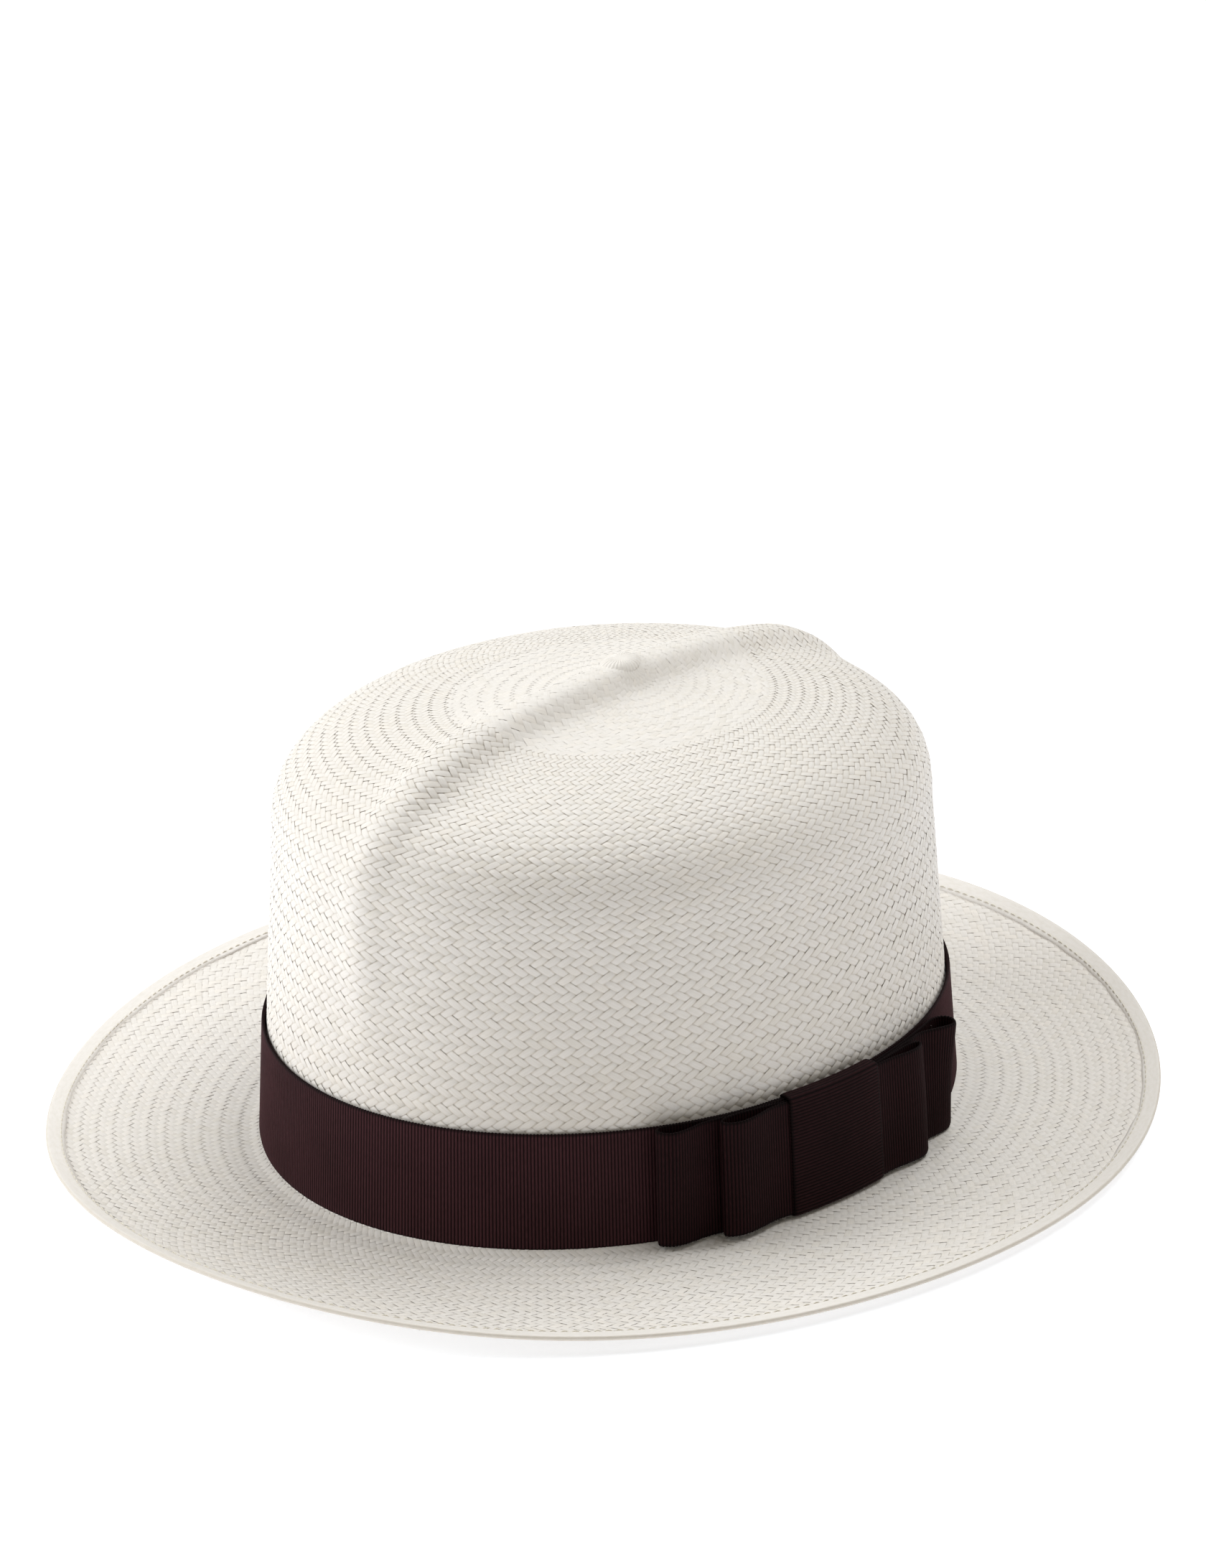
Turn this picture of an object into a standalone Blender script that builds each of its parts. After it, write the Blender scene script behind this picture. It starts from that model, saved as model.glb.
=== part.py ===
"""Optimo (folding) panama hat: a woven straw body with a ridge along its crown, a ribbon band and bow, and a
leather sweatband.

Metres, +Z up. The hat rests on its brim at z = 0, centred on the origin. Its front faces -Y and the bow is on
the wearer's left, +X. An angle around the hat is measured from the front towards the wearer's left. A distance
out is measured from the inner face of the crown's wall, away from the head.
"""
import math

import bmesh
import bpy
from mathutils import Vector

MM = 0.001

# Crown.
HEAD_HALF_LENGTH = 101.0 * MM          # inside of the straw at the brim, front to back
HEAD_HALF_WIDTH = 82.2 * MM            # inside of the straw at the brim, side to side
STRAW = 1.2 * MM                       # thickness of the woven straw
CROWN_TAPER = 0.657                    # share of the oval lost per metre of height
CROWN_LEAN = -0.034                    # how far the wall leans forward per metre of height
SHOULDER_HEIGHT = 83.0 * MM            # where the wall starts to round over
CROWN_HEIGHT = 115.7 * MM              # inside of the crown's top, without its ridge
SHOULDER_POWER = 3.0                   # superellipse power of the rounded shoulder
TOP_TILT = 0.23                        # fall of the crown towards the back, per metre of height

# Ridge that runs from front to back over the crown, and the button at its middle.
RIDGE_RISE = 7.0 * MM
RIDGE_RISE_AT_BACK = 5.0 * MM
RIDGE_CREST_RADIUS = 2.5 * MM
RIDGE_FALLOFF = 6.0 * MM
FRONT_CREASE_RISE = 1.6 * MM
BACK_CREASE_RISE = 2.2 * MM
BUTTON_RISE = 0.8 * MM
BUTTON_RADIUS = 5.5 * MM
BUTTON_SET_BACK = 9.0 * MM

# Brim.
BRIM_WIDTH = 56.65 * MM
BRIM_WIDTH_WAVES = (3.4 * MM, -1.65 * MM, 2.0 * MM)  # added with cos(angle), cos(2 angle), cos(3 angle)
BRIM_FLAT = 14.6 * MM                  # width of the flat ring that the hat rests on
BRIM_EDGE_HEIGHT = 2.5 * MM            # underside of the brim's edge at the sides
BRIM_FRONT_LIFT = 6.4 * MM
BRIM_BACK_LIFT = 8.7 * MM
BRIM_CURL_POWER = 1.6
HEM_WIDTH = 4.8 * MM                   # straw folded back onto the top of the brim
HEM_STEP = 0.6 * MM
HEM_STITCH_INSET = 4.0 * MM            # from the brim's edge to the row of stitches

# Ribbon band and bow.
GAP = 0.3 * MM                         # clearance between touching pieces
RIBBON = 0.5 * MM                      # thickness of the grosgrain
RIBBON_WIDTH = 30.6 * MM
BAND_BOTTOM = 1.8 * MM
LOOP_BOTTOM = 2.6 * MM
LOOP_OPENING = 3.0 * MM                # how far a loop stands open near its fold
BOW_ANGLE = math.radians(84.0)         # middle of the bow's knot
KNOT_HALF_ANGLE = math.radians(9.0)
SHORT_LOOP_REACH = math.radians(20.5)
LONG_LOOP_REACH = math.radians(31.0)
TACK_LENGTH = 1.6 * MM
TACK_INSET = math.radians(3.5)         # from a long loop's fold to its tacks

# Leather sweatband with its reed, seam and small bow inside the back.
LEATHER = 0.8 * MM
SWEATBAND_BOTTOM = 2.8 * MM
SWEATBAND_HEIGHT = 36.0 * MM
SWEATBAND_STITCH_HEIGHT = 5.8 * MM
REED_RADIUS = 0.7 * MM
REED_HEIGHT = 1.5 * MM
THREAD_RADIUS = 0.25 * MM
SEAM_BOTTOM = 17.0 * MM
SEAM_TOP = 37.0 * MM
SEAM_STITCHES = 9
SEAM_STITCH_WIDTH = 3.6 * MM
SMALL_RIBBON_WIDTH = 5.0 * MM
SMALL_BOW_BOTTOM = 8.0 * MM
SMALL_BOW_REACH = math.radians(7.0)
SMALL_KNOT_HALF_ANGLE = math.radians(1.5)
SMALL_LOOP_OPENING = 2.0 * MM

# Where the layers of ribbon, leather and thread lie: the distances out of their middle surfaces.
LAYER = RIBBON + GAP
WRAP_CORNER = LAYER
BAND_OUT = STRAW + GAP + RIBBON / 2
KNOT_BACK_OUT = BAND_OUT + LAYER
LONG_LOOP_OUT = KNOT_BACK_OUT + LAYER
SHORT_LOOP_OUT = LONG_LOOP_OUT + 2 * LAYER
KNOT_FRONT_OUT = SHORT_LOOP_OUT + 2 * LAYER
SWEATBAND_OUT = -GAP - LEATHER / 2
LEATHER_FACE_OUT = -GAP - LEATHER
THREAD_OUT = LEATHER_FACE_OUT - GAP - THREAD_RADIUS
SMALL_KNOT_BACK_OUT = LEATHER_FACE_OUT - GAP - RIBBON / 2
SMALL_LOOP_OUT = SMALL_KNOT_BACK_OUT - LAYER
SMALL_KNOT_FRONT_OUT = SMALL_LOOP_OUT - 2 * LAYER

CROWN_BOTTOM = STRAW + GAP             # where the crown's wall meets the brim

# Resolution.
AROUND = 72                            # points around the hat
AROUND_BUNCHING = 0.15                 # draws them towards the front and back, where the ridge comes down
CROWN_RINGS = 12
WALL_RINGS = 5
FLAT_SAMPLES = 5
FOLD_SAMPLES = 8


# Shape of the straw's inner and under face, on which every piece is placed.

def smooth_step(low, high, value):
    share = min(1.0, max(0.0, (value - low) / (high - low)))
    return share * share * (3 - 2 * share)


def around_angles():
    steps = [2 * math.pi * index / AROUND for index in range(AROUND)]
    return [step - AROUND_BUNCHING * math.sin(2 * step) for step in steps]


def brim_width(angle):
    waves = enumerate(BRIM_WIDTH_WAVES, start=1)
    return BRIM_WIDTH + sum(size * math.cos(order * angle) for order, size in waves)


CENTRE_SHIFT = (brim_width(0.0) - brim_width(math.pi)) / 2   # puts the middle of the brim over the origin


def outward(angle):
    """Horizontal direction away from the head."""
    direction = Vector((math.sin(angle) / HEAD_HALF_WIDTH, -math.cos(angle) / HEAD_HALF_LENGTH, 0.0))
    return direction.normalized()


def oval_point(angle, height, share=1.0):
    """Point on the crown's oval at a height, drawn in towards its middle by a share."""
    scale = share * (1 - CROWN_TAPER * min(height, SHOULDER_HEIGHT))
    x = HEAD_HALF_WIDTH * scale * math.sin(angle)
    y = -HEAD_HALF_LENGTH * scale * math.cos(angle) + CROWN_LEAN * height
    return Vector((x, y + CENTRE_SHIFT, height - TOP_TILT * y * height))


def wall_point(angle, height, out=0.0):
    return oval_point(angle, height) + outward(angle) * out


def ridge_rise(point, share, height):
    """How far the ridge, its creases and the button lift the straw at a point of the crown."""
    is_front = point.y < CENTRE_SHIFT
    crease = FRONT_CREASE_RISE if is_front else BACK_CREASE_RISE
    back_fall = 0.0 if is_front else smooth_step(0.0, 0.8, share)
    top = RIDGE_RISE + (RIDGE_RISE_AT_BACK - RIDGE_RISE) * back_fall
    crest = top + (crease - top) * smooth_step(0.7, 1.0, share)
    crest *= smooth_step(BAND_BOTTOM + RIBBON_WIDTH, SHOULDER_HEIGHT, height)
    across = math.hypot(point.x, RIDGE_CREST_RADIUS) - RIDGE_CREST_RADIUS
    from_button = math.hypot(point.x, point.y - BUTTON_SET_BACK) / BUTTON_RADIUS
    return crest * math.exp(-across / RIDGE_FALLOFF) + BUTTON_RISE * math.exp(-from_button ** 4)


def crown_point(angle, turn):
    """Point over the shoulder: turn is a right angle at the crown's middle and 0 where the wall begins."""
    across = abs(math.cos(turn))
    up = abs(math.sin(turn))
    radius = (across ** SHOULDER_POWER + up ** SHOULDER_POWER) ** (-1 / SHOULDER_POWER)
    height = SHOULDER_HEIGHT + (CROWN_HEIGHT - SHOULDER_HEIGHT) * radius * up
    point = oval_point(angle, height, radius * across)
    facing = outward(angle) * across + Vector((0.0, 0.0, up))
    return point + facing.normalized() * ridge_rise(point, radius * across, height)


def creased_wall_point(angle, height):
    point = oval_point(angle, height)
    return point + outward(angle) * ridge_rise(point, 1.0, height)


def brim_lift(angle):
    """Height of the underside of the brim's edge."""
    front = max(0.0, math.cos(angle))
    back = max(0.0, -math.cos(angle))
    return BRIM_EDGE_HEIGHT + BRIM_FRONT_LIFT * front ** 6 + BRIM_BACK_LIFT * back ** 3


def brim_point(angle, out, above=0.0):
    """Point over the brim's underside, a distance out from the head opening."""
    rise = max(0.0, out - BRIM_FLAT) / (brim_width(angle) - BRIM_FLAT)
    point = oval_point(angle, 0.0) + outward(angle) * out
    point.z = brim_lift(angle) * rise ** BRIM_CURL_POWER + above
    return point


# Building blocks.

def plain_material(name, colour, roughness):
    material = bpy.data.materials.new(name)
    material.use_nodes = True
    shader = material.node_tree.nodes["Principled BSDF"]
    shader.inputs["Base Color"].default_value = (*colour, 1.0)
    shader.inputs["Roughness"].default_value = roughness
    shader.inputs["Metallic"].default_value = 0.0
    return material


def add_part(name, data, material):
    part = bpy.data.objects.new(name, data)
    data.materials.append(material)
    parts.objects.link(part)
    return part


def lofted_sheet(name, rings, material, pole=None):
    """Sheet between closed rows of points, with a fan to a pole inside the first row."""
    model = bmesh.new()
    rows = [[model.verts.new(point) for point in ring] for ring in rings]
    count = len(rows[0])
    for inner, outer in zip(rows, rows[1:]):
        for index in range(count):
            following = (index + 1) % count
            model.faces.new((inner[index], outer[index], outer[following], inner[following]))
    if pole is not None:
        centre = model.verts.new(pole)
        for index in range(count):
            model.faces.new((centre, rows[0][index], rows[0][(index + 1) % count]))
    mesh = bpy.data.meshes.new(name)
    model.to_mesh(mesh)
    model.free()
    mesh.shade_smooth()
    return add_part(name, mesh, material)


def thicken(part, thickness, side):
    """Turn a sheet into a solid: side is 1 along its faces' normals and 0 half to each side."""
    solidify = part.modifiers.new("Thickness", "SOLIDIFY")
    solidify.thickness = thickness
    solidify.offset = side
    solidify.use_even_offset = True
    return solidify


def upright_ribbon(name, path, bottom, width, thickness, material):
    """Ribbon standing on its edge along a closed path of (angle, distance out) pairs."""
    levels = (bottom, bottom + width / 2, bottom + width)
    rings = [[wall_point(angle, level, out) for angle, out in path] for level in levels]
    thicken(lofted_sheet(name, rings, material), thickness, 0.0)


def wrap_section(outs, heights):
    """Closed section of a wrapped ribbon: an upright rectangle with rounded corners, as (out, height) pairs."""
    low_out, high_out = min(outs) + WRAP_CORNER, max(outs) - WRAP_CORNER
    low, high = heights[0] + WRAP_CORNER, heights[1] - WRAP_CORNER
    section = []
    for quarter, centre in enumerate(((high_out, high), (low_out, high), (low_out, low), (high_out, low))):
        for step in (0.0, 0.5, 1.0):
            turn = math.pi / 2 * (quarter + step)
            section.append((centre[0] + WRAP_CORNER * math.cos(turn), centre[1] + WRAP_CORNER * math.sin(turn)))
    return section


def wrapped_ribbon(name, middle, half_angle, outs, heights, material):
    """Ribbon wrapped round a bow from top to bottom, as a flattened tube along the band."""
    section = wrap_section(outs, heights)
    rings = []
    for side in (-1.0, -0.5, 0.0, 0.5, 1.0):
        angle = middle + side * half_angle
        rings.append([wall_point(angle, height, out) for out, height in section])
    thicken(lofted_sheet(name, rings, material), RIBBON, 0.0)


def bow_path(middle, pinch, reach, back, front, opening):
    """Closed path of a ribbon ring: pinched flat in its middle and open near the fold at each end."""
    near = [(pinch * step / FLAT_SAMPLES, front, back) for step in range(FLAT_SAMPLES)]
    fold = (back + front + opening) / 2
    for step in range(FOLD_SAMPLES + 1):
        turn = math.pi / 2 * step / FOLD_SAMPLES
        roundness = math.sqrt(abs(math.cos(turn)))
        face = front + opening * smooth_step(0.0, 0.85, math.sin(turn))
        angle = pinch + (reach - pinch) * math.sin(turn)
        near.append((angle, fold + (face - fold) * roundness, fold + (back - fold) * roundness))
    right = [(angle, face) for angle, face, rear in near] + [(angle, rear) for angle, face, rear in near[-2::-1]]
    left = [(-angle, out) for angle, out in right[-2:0:-1]]
    return [(middle + angle, out) for angle, out in right + left]


def thread(name, run, radius, material, closed=False):
    """Round thread along a row of points."""
    curve = bpy.data.curves.new(name, "CURVE")
    curve.dimensions = "3D"
    curve.bevel_depth = radius
    curve.bevel_resolution = 1
    curve.use_fill_caps = not closed
    spline = curve.splines.new("POLY")
    spline.points.add(len(run) - 1)
    for point, place in zip(spline.points, run):
        point.co = (*place, 1.0)
    spline.use_cyclic_u = closed
    add_part(name, curve, material)


# Pieces.

def make_straw_crown(material):
    """Crown of the woven cloth, thickened outwards. It stands on the inner edge of the brim."""
    angles = around_angles()
    turns = [math.pi / 2 * (1 - step / CROWN_RINGS) for step in (0.4, *range(1, CROWN_RINGS + 1))]
    rings = [[crown_point(angle, turn) for angle in angles] for turn in turns]
    for step in range(1, WALL_RINGS + 1):
        height = SHOULDER_HEIGHT + (CROWN_BOTTOM - SHOULDER_HEIGHT) * step / WALL_RINGS
        rings.append([creased_wall_point(angle, height) for angle in angles])
    crown = lofted_sheet("straw_crown", rings, material, pole=crown_point(0.0, math.pi / 2))
    thicken(crown, STRAW, 1.0)


def make_straw_brim(material):
    """Brim of the same cloth, thickened upwards, and doubled where its edge is folded into a hem."""
    angles = around_angles()
    free_widths = [brim_width(angle) - HEM_WIDTH - HEM_STEP - BRIM_FLAT for angle in angles]
    rings = [[brim_point(angle, 0.0) for angle in angles]]
    for share in (0.0, 0.35, 0.7, 1.0):
        rings.append([brim_point(angle, BRIM_FLAT + width * share) for angle, width in zip(angles, free_widths)])
    doubled_from = len(rings)
    for inset in (HEM_WIDTH, HEM_WIDTH / 2, 0.0):
        rings.append([brim_point(angle, brim_width(angle) - inset) for angle in angles])
    brim = lofted_sheet("straw_brim", rings, material)
    layers = brim.vertex_groups.new(name="layers")
    for vertex in brim.data.vertices:
        layers.add([vertex.index], 1.0 if vertex.index >= doubled_from * AROUND else 0.5, "REPLACE")
    thicken(brim, 2 * STRAW, 1.0).vertex_group = layers.name


def make_hem_stitching(material):
    above = 2 * STRAW + 2 * GAP + THREAD_RADIUS
    run = [brim_point(angle, brim_width(angle) - HEM_STITCH_INSET, above) for angle in around_angles()]
    thread("hem_stitching", run, THREAD_RADIUS, material, closed=True)


def make_hatband(material):
    path = [(angle, BAND_OUT) for angle in around_angles()]
    upright_ribbon("hatband", path, BAND_BOTTOM, RIBBON_WIDTH, RIBBON, material)


def make_bow(material):
    clear = math.radians(0.8)
    loops = (
        ("bow_long_loops", SHORT_LOOP_REACH + clear, LONG_LOOP_REACH, LONG_LOOP_OUT),
        ("bow_short_loops", KNOT_HALF_ANGLE + clear, SHORT_LOOP_REACH, SHORT_LOOP_OUT),
    )
    for name, pinch, reach, back in loops:
        path = bow_path(BOW_ANGLE, pinch, reach, back, back + LAYER, LOOP_OPENING)
        upright_ribbon(name, path, LOOP_BOTTOM, RIBBON_WIDTH, RIBBON, material)
    heights = (LOOP_BOTTOM - LAYER, LOOP_BOTTOM + RIBBON_WIDTH + LAYER)
    wrapped_ribbon("bow_knot", BOW_ANGLE, KNOT_HALF_ANGLE, (KNOT_BACK_OUT, KNOT_FRONT_OUT), heights, material)


def make_bow_tacks(material):
    """Four short stitches inside the long loops, which hold them to the band."""
    out = LONG_LOOP_OUT + RIBBON / 2 + GAP + THREAD_RADIUS
    low = LOOP_BOTTOM + TACK_LENGTH
    high = LOOP_BOTTOM + RIBBON_WIDTH - 2 * TACK_LENGTH
    for side_name, side in (("front", -1), ("back", 1)):
        angle = BOW_ANGLE + side * (LONG_LOOP_REACH - TACK_INSET)
        for end_name, height in (("low", low), ("high", high)):
            run = [wall_point(angle, height + rise, out) for rise in (0.0, TACK_LENGTH)]
            thread(f"bow_tack_{side_name}_{end_name}", run, THREAD_RADIUS, material)


def make_sweatband(material):
    path = [(angle, SWEATBAND_OUT) for angle in around_angles()]
    upright_ribbon("sweatband", path, SWEATBAND_BOTTOM, SWEATBAND_HEIGHT, LEATHER, material)


def make_sweatband_reed(material):
    out = -GAP - REED_RADIUS
    run = [wall_point(angle, REED_HEIGHT, out) for angle in around_angles()]
    thread("sweatband_reed", run, REED_RADIUS, material, closed=True)


def make_sweatband_threads(material):
    run = [wall_point(angle, SWEATBAND_STITCH_HEIGHT, THREAD_OUT) for angle in around_angles()]
    thread("sweatband_stitching", run, THREAD_RADIUS, material, closed=True)
    half_angle = SEAM_STITCH_WIDTH / 2 / HEAD_HALF_WIDTH
    seam = []
    for step in range(SEAM_STITCHES):
        height = SEAM_BOTTOM + (SEAM_TOP - SEAM_BOTTOM) * step / (SEAM_STITCHES - 1)
        seam.append(wall_point(math.pi + half_angle * (-1) ** step, height, THREAD_OUT))
    thread("sweatband_seam", seam, THREAD_RADIUS, material)


def make_sweatband_bow(material):
    """Small bow inside the back, which marks the seam of the leather."""
    pinch = SMALL_KNOT_HALF_ANGLE * 1.2
    path = bow_path(math.pi, pinch, SMALL_BOW_REACH, SMALL_LOOP_OUT, SMALL_LOOP_OUT - LAYER, -SMALL_LOOP_OPENING)
    upright_ribbon("sweatband_bow", path, SMALL_BOW_BOTTOM, SMALL_RIBBON_WIDTH, RIBBON, material)
    heights = (SMALL_BOW_BOTTOM - LAYER, SMALL_BOW_BOTTOM + SMALL_RIBBON_WIDTH + LAYER)
    outs = (SMALL_KNOT_BACK_OUT, SMALL_KNOT_FRONT_OUT)
    wrapped_ribbon("sweatband_bow_knot", math.pi, SMALL_KNOT_HALF_ANGLE, outs, heights, material)


for leftover in list(bpy.data.objects):
    bpy.data.objects.remove(leftover)
parts = bpy.data.collections.new("panama_hat")
bpy.context.scene.collection.children.link(parts)

make_straw_crown(plain_material("crown_straw", (0.88, 0.84, 0.76), 0.7))
make_straw_brim(plain_material("brim_straw", (0.88, 0.84, 0.76), 0.7))
make_hem_stitching(plain_material("cream_thread", (0.80, 0.74, 0.62), 0.8))
make_hatband(plain_material("band_grosgrain", (0.035, 0.018, 0.021), 0.75))
make_bow(plain_material("bow_grosgrain", (0.035, 0.018, 0.021), 0.75))
make_bow_tacks(plain_material("dark_thread", (0.03, 0.02, 0.02), 0.8))
make_sweatband(plain_material("leather", (0.42, 0.25, 0.14), 0.5))
make_sweatband_reed(plain_material("reed_tape", (0.36, 0.22, 0.13), 0.6))
make_sweatband_threads(plain_material("tan_thread", (0.55, 0.38, 0.22), 0.8))
make_sweatband_bow(plain_material("small_ribbon", (0.04, 0.02, 0.024), 0.7))
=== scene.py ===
"""Looks of the optimo panama hat: woven straw, grosgrain ribbon, thread and leather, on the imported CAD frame.

Metres, +Z up. The front of the hat faces -Y and the bow is on +X. An angle around the hat is measured from
the front towards the bow. A distance out is measured from the inner face of the crown's wall, away from the
head.
"""
import math

import bpy
import numpy as np
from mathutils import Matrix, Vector


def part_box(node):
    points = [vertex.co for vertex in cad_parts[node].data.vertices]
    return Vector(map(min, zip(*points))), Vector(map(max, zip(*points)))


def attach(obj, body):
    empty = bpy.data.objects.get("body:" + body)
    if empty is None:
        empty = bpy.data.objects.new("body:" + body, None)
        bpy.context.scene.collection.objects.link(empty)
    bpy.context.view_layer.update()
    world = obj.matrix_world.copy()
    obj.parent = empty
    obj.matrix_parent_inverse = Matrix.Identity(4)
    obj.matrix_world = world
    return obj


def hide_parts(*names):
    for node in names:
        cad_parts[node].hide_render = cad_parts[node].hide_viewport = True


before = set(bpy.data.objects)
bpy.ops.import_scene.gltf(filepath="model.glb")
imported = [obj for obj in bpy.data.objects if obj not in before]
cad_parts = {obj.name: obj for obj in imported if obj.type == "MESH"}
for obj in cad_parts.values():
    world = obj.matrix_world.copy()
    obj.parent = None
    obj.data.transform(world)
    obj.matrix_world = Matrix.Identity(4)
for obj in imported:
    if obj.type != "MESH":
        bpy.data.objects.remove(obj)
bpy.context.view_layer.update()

MM = 0.001
ROOT = "root"
CHANCE = np.random.default_rng(7)
FULL_TURN = 2 * math.pi
WHITE = (1.0, 1.0, 1.0)

# Sizes that come from the CAD nodes.
crown_low, crown_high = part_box("straw_crown")
leather_low, leather_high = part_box("sweatband")
band_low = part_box("hatband")[0]
bow_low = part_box("bow_long_loops")[0]
small_bow_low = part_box("sweatband_bow")[0]

STRAW = 1.2 * MM                       # thickness of the woven straw
HALF_WIDTH = (crown_high.x - crown_low.x) / 2 - STRAW
HALF_LENGTH = (crown_high.y - crown_low.y) / 2 - STRAW
CENTRE = (crown_high.y + crown_low.y) / 2
RIBBON_DROP = 0.4 * MM                 # the soft ribbon hangs this much lower than its solid
BAND_BOTTOM = band_low.z - RIBBON_DROP
BAND_WIDTH = 31.5 * MM
BAND_TOP = BAND_BOTTOM + BAND_WIDTH
LOOP_BOTTOM = bow_low.z - RIBBON_DROP
BOW_DROOP = 0.018                      # fall of the bow's rear loops, as a slope

# Crown: an oval wall that tapers upwards, a rounded shoulder and a top that falls towards the back.
CROWN_TAPER = 0.657                    # share of the oval lost per metre of height
CROWN_LEAN = -0.034
TOP_TILT = 0.23
SHOULDER_HEIGHT = 83.0 * MM
CROWN_HEIGHT = 115.7 * MM
SHOULDER_POWER = 3.0
BUTTON_SET_BACK = 9.0 * MM
BUTTON_RISE = 0.8 * MM
BUTTON_RADIUS = 5.5 * MM
ROUND_BUTTON_BY = 0.85                 # share of the way out up to which rings shift towards the button

# Ridge: it runs over the crown from front to back, and ends in a crease down each end.
RIDGE_RISE = 7.0 * MM
RIDGE_RISE_AT_BACK = 5.0 * MM
RIDGE_HALF_WIDTH = 5.8 * MM            # where the ridge has fallen to half of its rise
RIDGE_FLANK_POWER = 3.4
RIDGE_LOW_AT_BACK_BY = 0.8             # share of the way out where the back part is down to its own rise
CREASE_FROM = 0.7                      # share of the way out where the ridge starts to sink to its crease
FRONT_CREASE_RISE = 1.2 * MM
BACK_CREASE_RISE = 2.2 * MM
RIDGE_BEND = 4.0 * MM                  # the ridge comes down a little to the bow's side of the front
RIDGE_BENDS_FROM = 0.35
FRONT_KEEL_RISE = 3.8 * MM             # the front narrows to a keel that the crease runs down
FRONT_KEEL_REACH = 46.0 * MM
KEEL_FROM = 0.75
KEEL_POWER = 1.4

# Brim.
BRIM_WIDTH = 56.65 * MM
BRIM_WIDTH_WAVES = (3.4 * MM, -1.65 * MM, 2.0 * MM)
BRIM_FLAT = 14.6 * MM
BRIM_EDGE_HEIGHT = 2.5 * MM
BRIM_FRONT_LIFT = 6.4 * MM
BRIM_BACK_LIFT = 8.7 * MM
FRONT_LIFT_POWER = 6
BACK_LIFT_POWER = 3
BRIM_CURL_POWER = 1.6
ROOT_RISE = 1.6 * MM                   # the brim's root turns up into the crown
ROOT_REACH = 7.0 * MM
HEM_WIDTH = 4.8 * MM
HEM_STITCH_INSET = 4.0 * MM
HEM_THICKNESS = 1.4 * MM
HEM_CLEARANCE = 0.1 * MM
HEM_WAVER = 0.12 * MM                  # how far the hem's cut edge wanders
HEM_NICKS = 0.5 * MM                   # depth of its few deeper nicks
HEM_CUT_SINK = 0.35 * MM               # how far it is pressed down
FOLD_SHADE = 0.7                       # how much painted shade darkens the hem at its fold, and at its cut edge
CUT_SHADE = 0.45

# Weave: straws run both ways round the hat, and a row is one step over and under.
STRAW_LIFT = 0.7 * MM                  # middle of the woven layer over its inner face
WEAVE_RISE = 0.095                     # height of a float, as a share of its straw's width
STRAW_CAMBER = 0.055                   # how far a straw's edges drop, as a share of its width
STRAW_FILL = 0.502                     # half of a straw's width, as a share of the spacing
FLOAT_STEEPNESS = 5                    # how sharply a straw turns from over to under
FLOAT_PLACES = np.array([-0.35, 0.2, 0.8, 1.35, 1.65, 2.2, 2.8, 3.35])   # where four crossings are sampled
# Radius where each number of straws starts, and how much of the full relief and of the painted shade they keep.
RINGS = ((5.0 * MM, 40, 0.5), (15.0 * MM, 80, 0.6), (40.0 * MM, 160, 1.0))
CROWN_STRAWS = RINGS[-1][1]
INNER_FILL = 1.05                      # the straws near the button are packed closer
ROWS_ON_TOP = 560.0                    # straws crossed per metre down the crown's top
ROWS_ON_WALL = 410.0
ROWS_CHANGE_FROM = 0.7                 # ways down the crown between which the rows change
ROWS_CHANGE_TO = 1.15
WALL_ROWS_CUT = 0.3                    # rows by which the weave of the wall stops short of its foot
BRIM_STRAWS = 280
BRIM_RELIEF = 0.8
BRIM_ROWS_INSIDE = 370.0
BRIM_ROWS_OUTSIDE = 480.0
BRIM_FIRST_ROW = 0.1
BRIM_LAST_WAY = 1.04                   # the weave of the brim ends a little way under the hem
ZONE_OVERLAP = 0.25                    # rows by which one zone of weave runs under the next
CLOTH_SAMPLES = 1500                   # steps in which a surface's rows are counted
SMALL_STEP = 0.02                      # part of a crossing, to find which way a surface faces
WIDTH_SPREAD = 0.03                    # how much straws differ in width, place, height and tone
WIDTH_LIMITS = (0.94, 1.04)
PLACE_SPREAD = 0.03
LIFT_SPREAD = 0.012
TONE_SPREAD = 0.03
DIVE_SHADE = 0.7                       # painted shade: how much darker a straw is where it dives under another, and along its edges
EDGE_SHADE = 0.62

# Ribbon and bow.
GAP = 0.3 * MM
RIBBON = 0.5 * MM
LAYER = RIBBON + GAP
RIB_PITCH = 0.9 * MM
RIB_RISE = 0.22 * MM
SAMPLES_PER_RIB = 4
RIB_STEP = RIB_PITCH / SAMPLES_PER_RIB
SELVEDGE = 0.9 * MM
SELVEDGE_ROUND = 0.3 * MM
SELVEDGE_SCALLOP = 0.12 * MM
RADIUS_AT_BOW = HALF_LENGTH            # turns an angle near the bow into a length along the band
BOW_ANGLE = math.radians(84.0)
KNOT_HALF_ANGLE = math.radians(9.0)
SHORT_LOOP_PINCH = math.radians(9.8)
LONG_LOOP_PINCH = math.radians(21.3)
BAND_OUT = STRAW + GAP + RIBBON / 2
KNOT_BACK_OUT = BAND_OUT + LAYER
LONG_LOOP_OUT = KNOT_BACK_OUT + LAYER
SHORT_LOOP_OUT = LONG_LOOP_OUT + 2 * LAYER
KNOT_FRONT_OUT = SHORT_LOOP_OUT + 2 * LAYER
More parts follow.
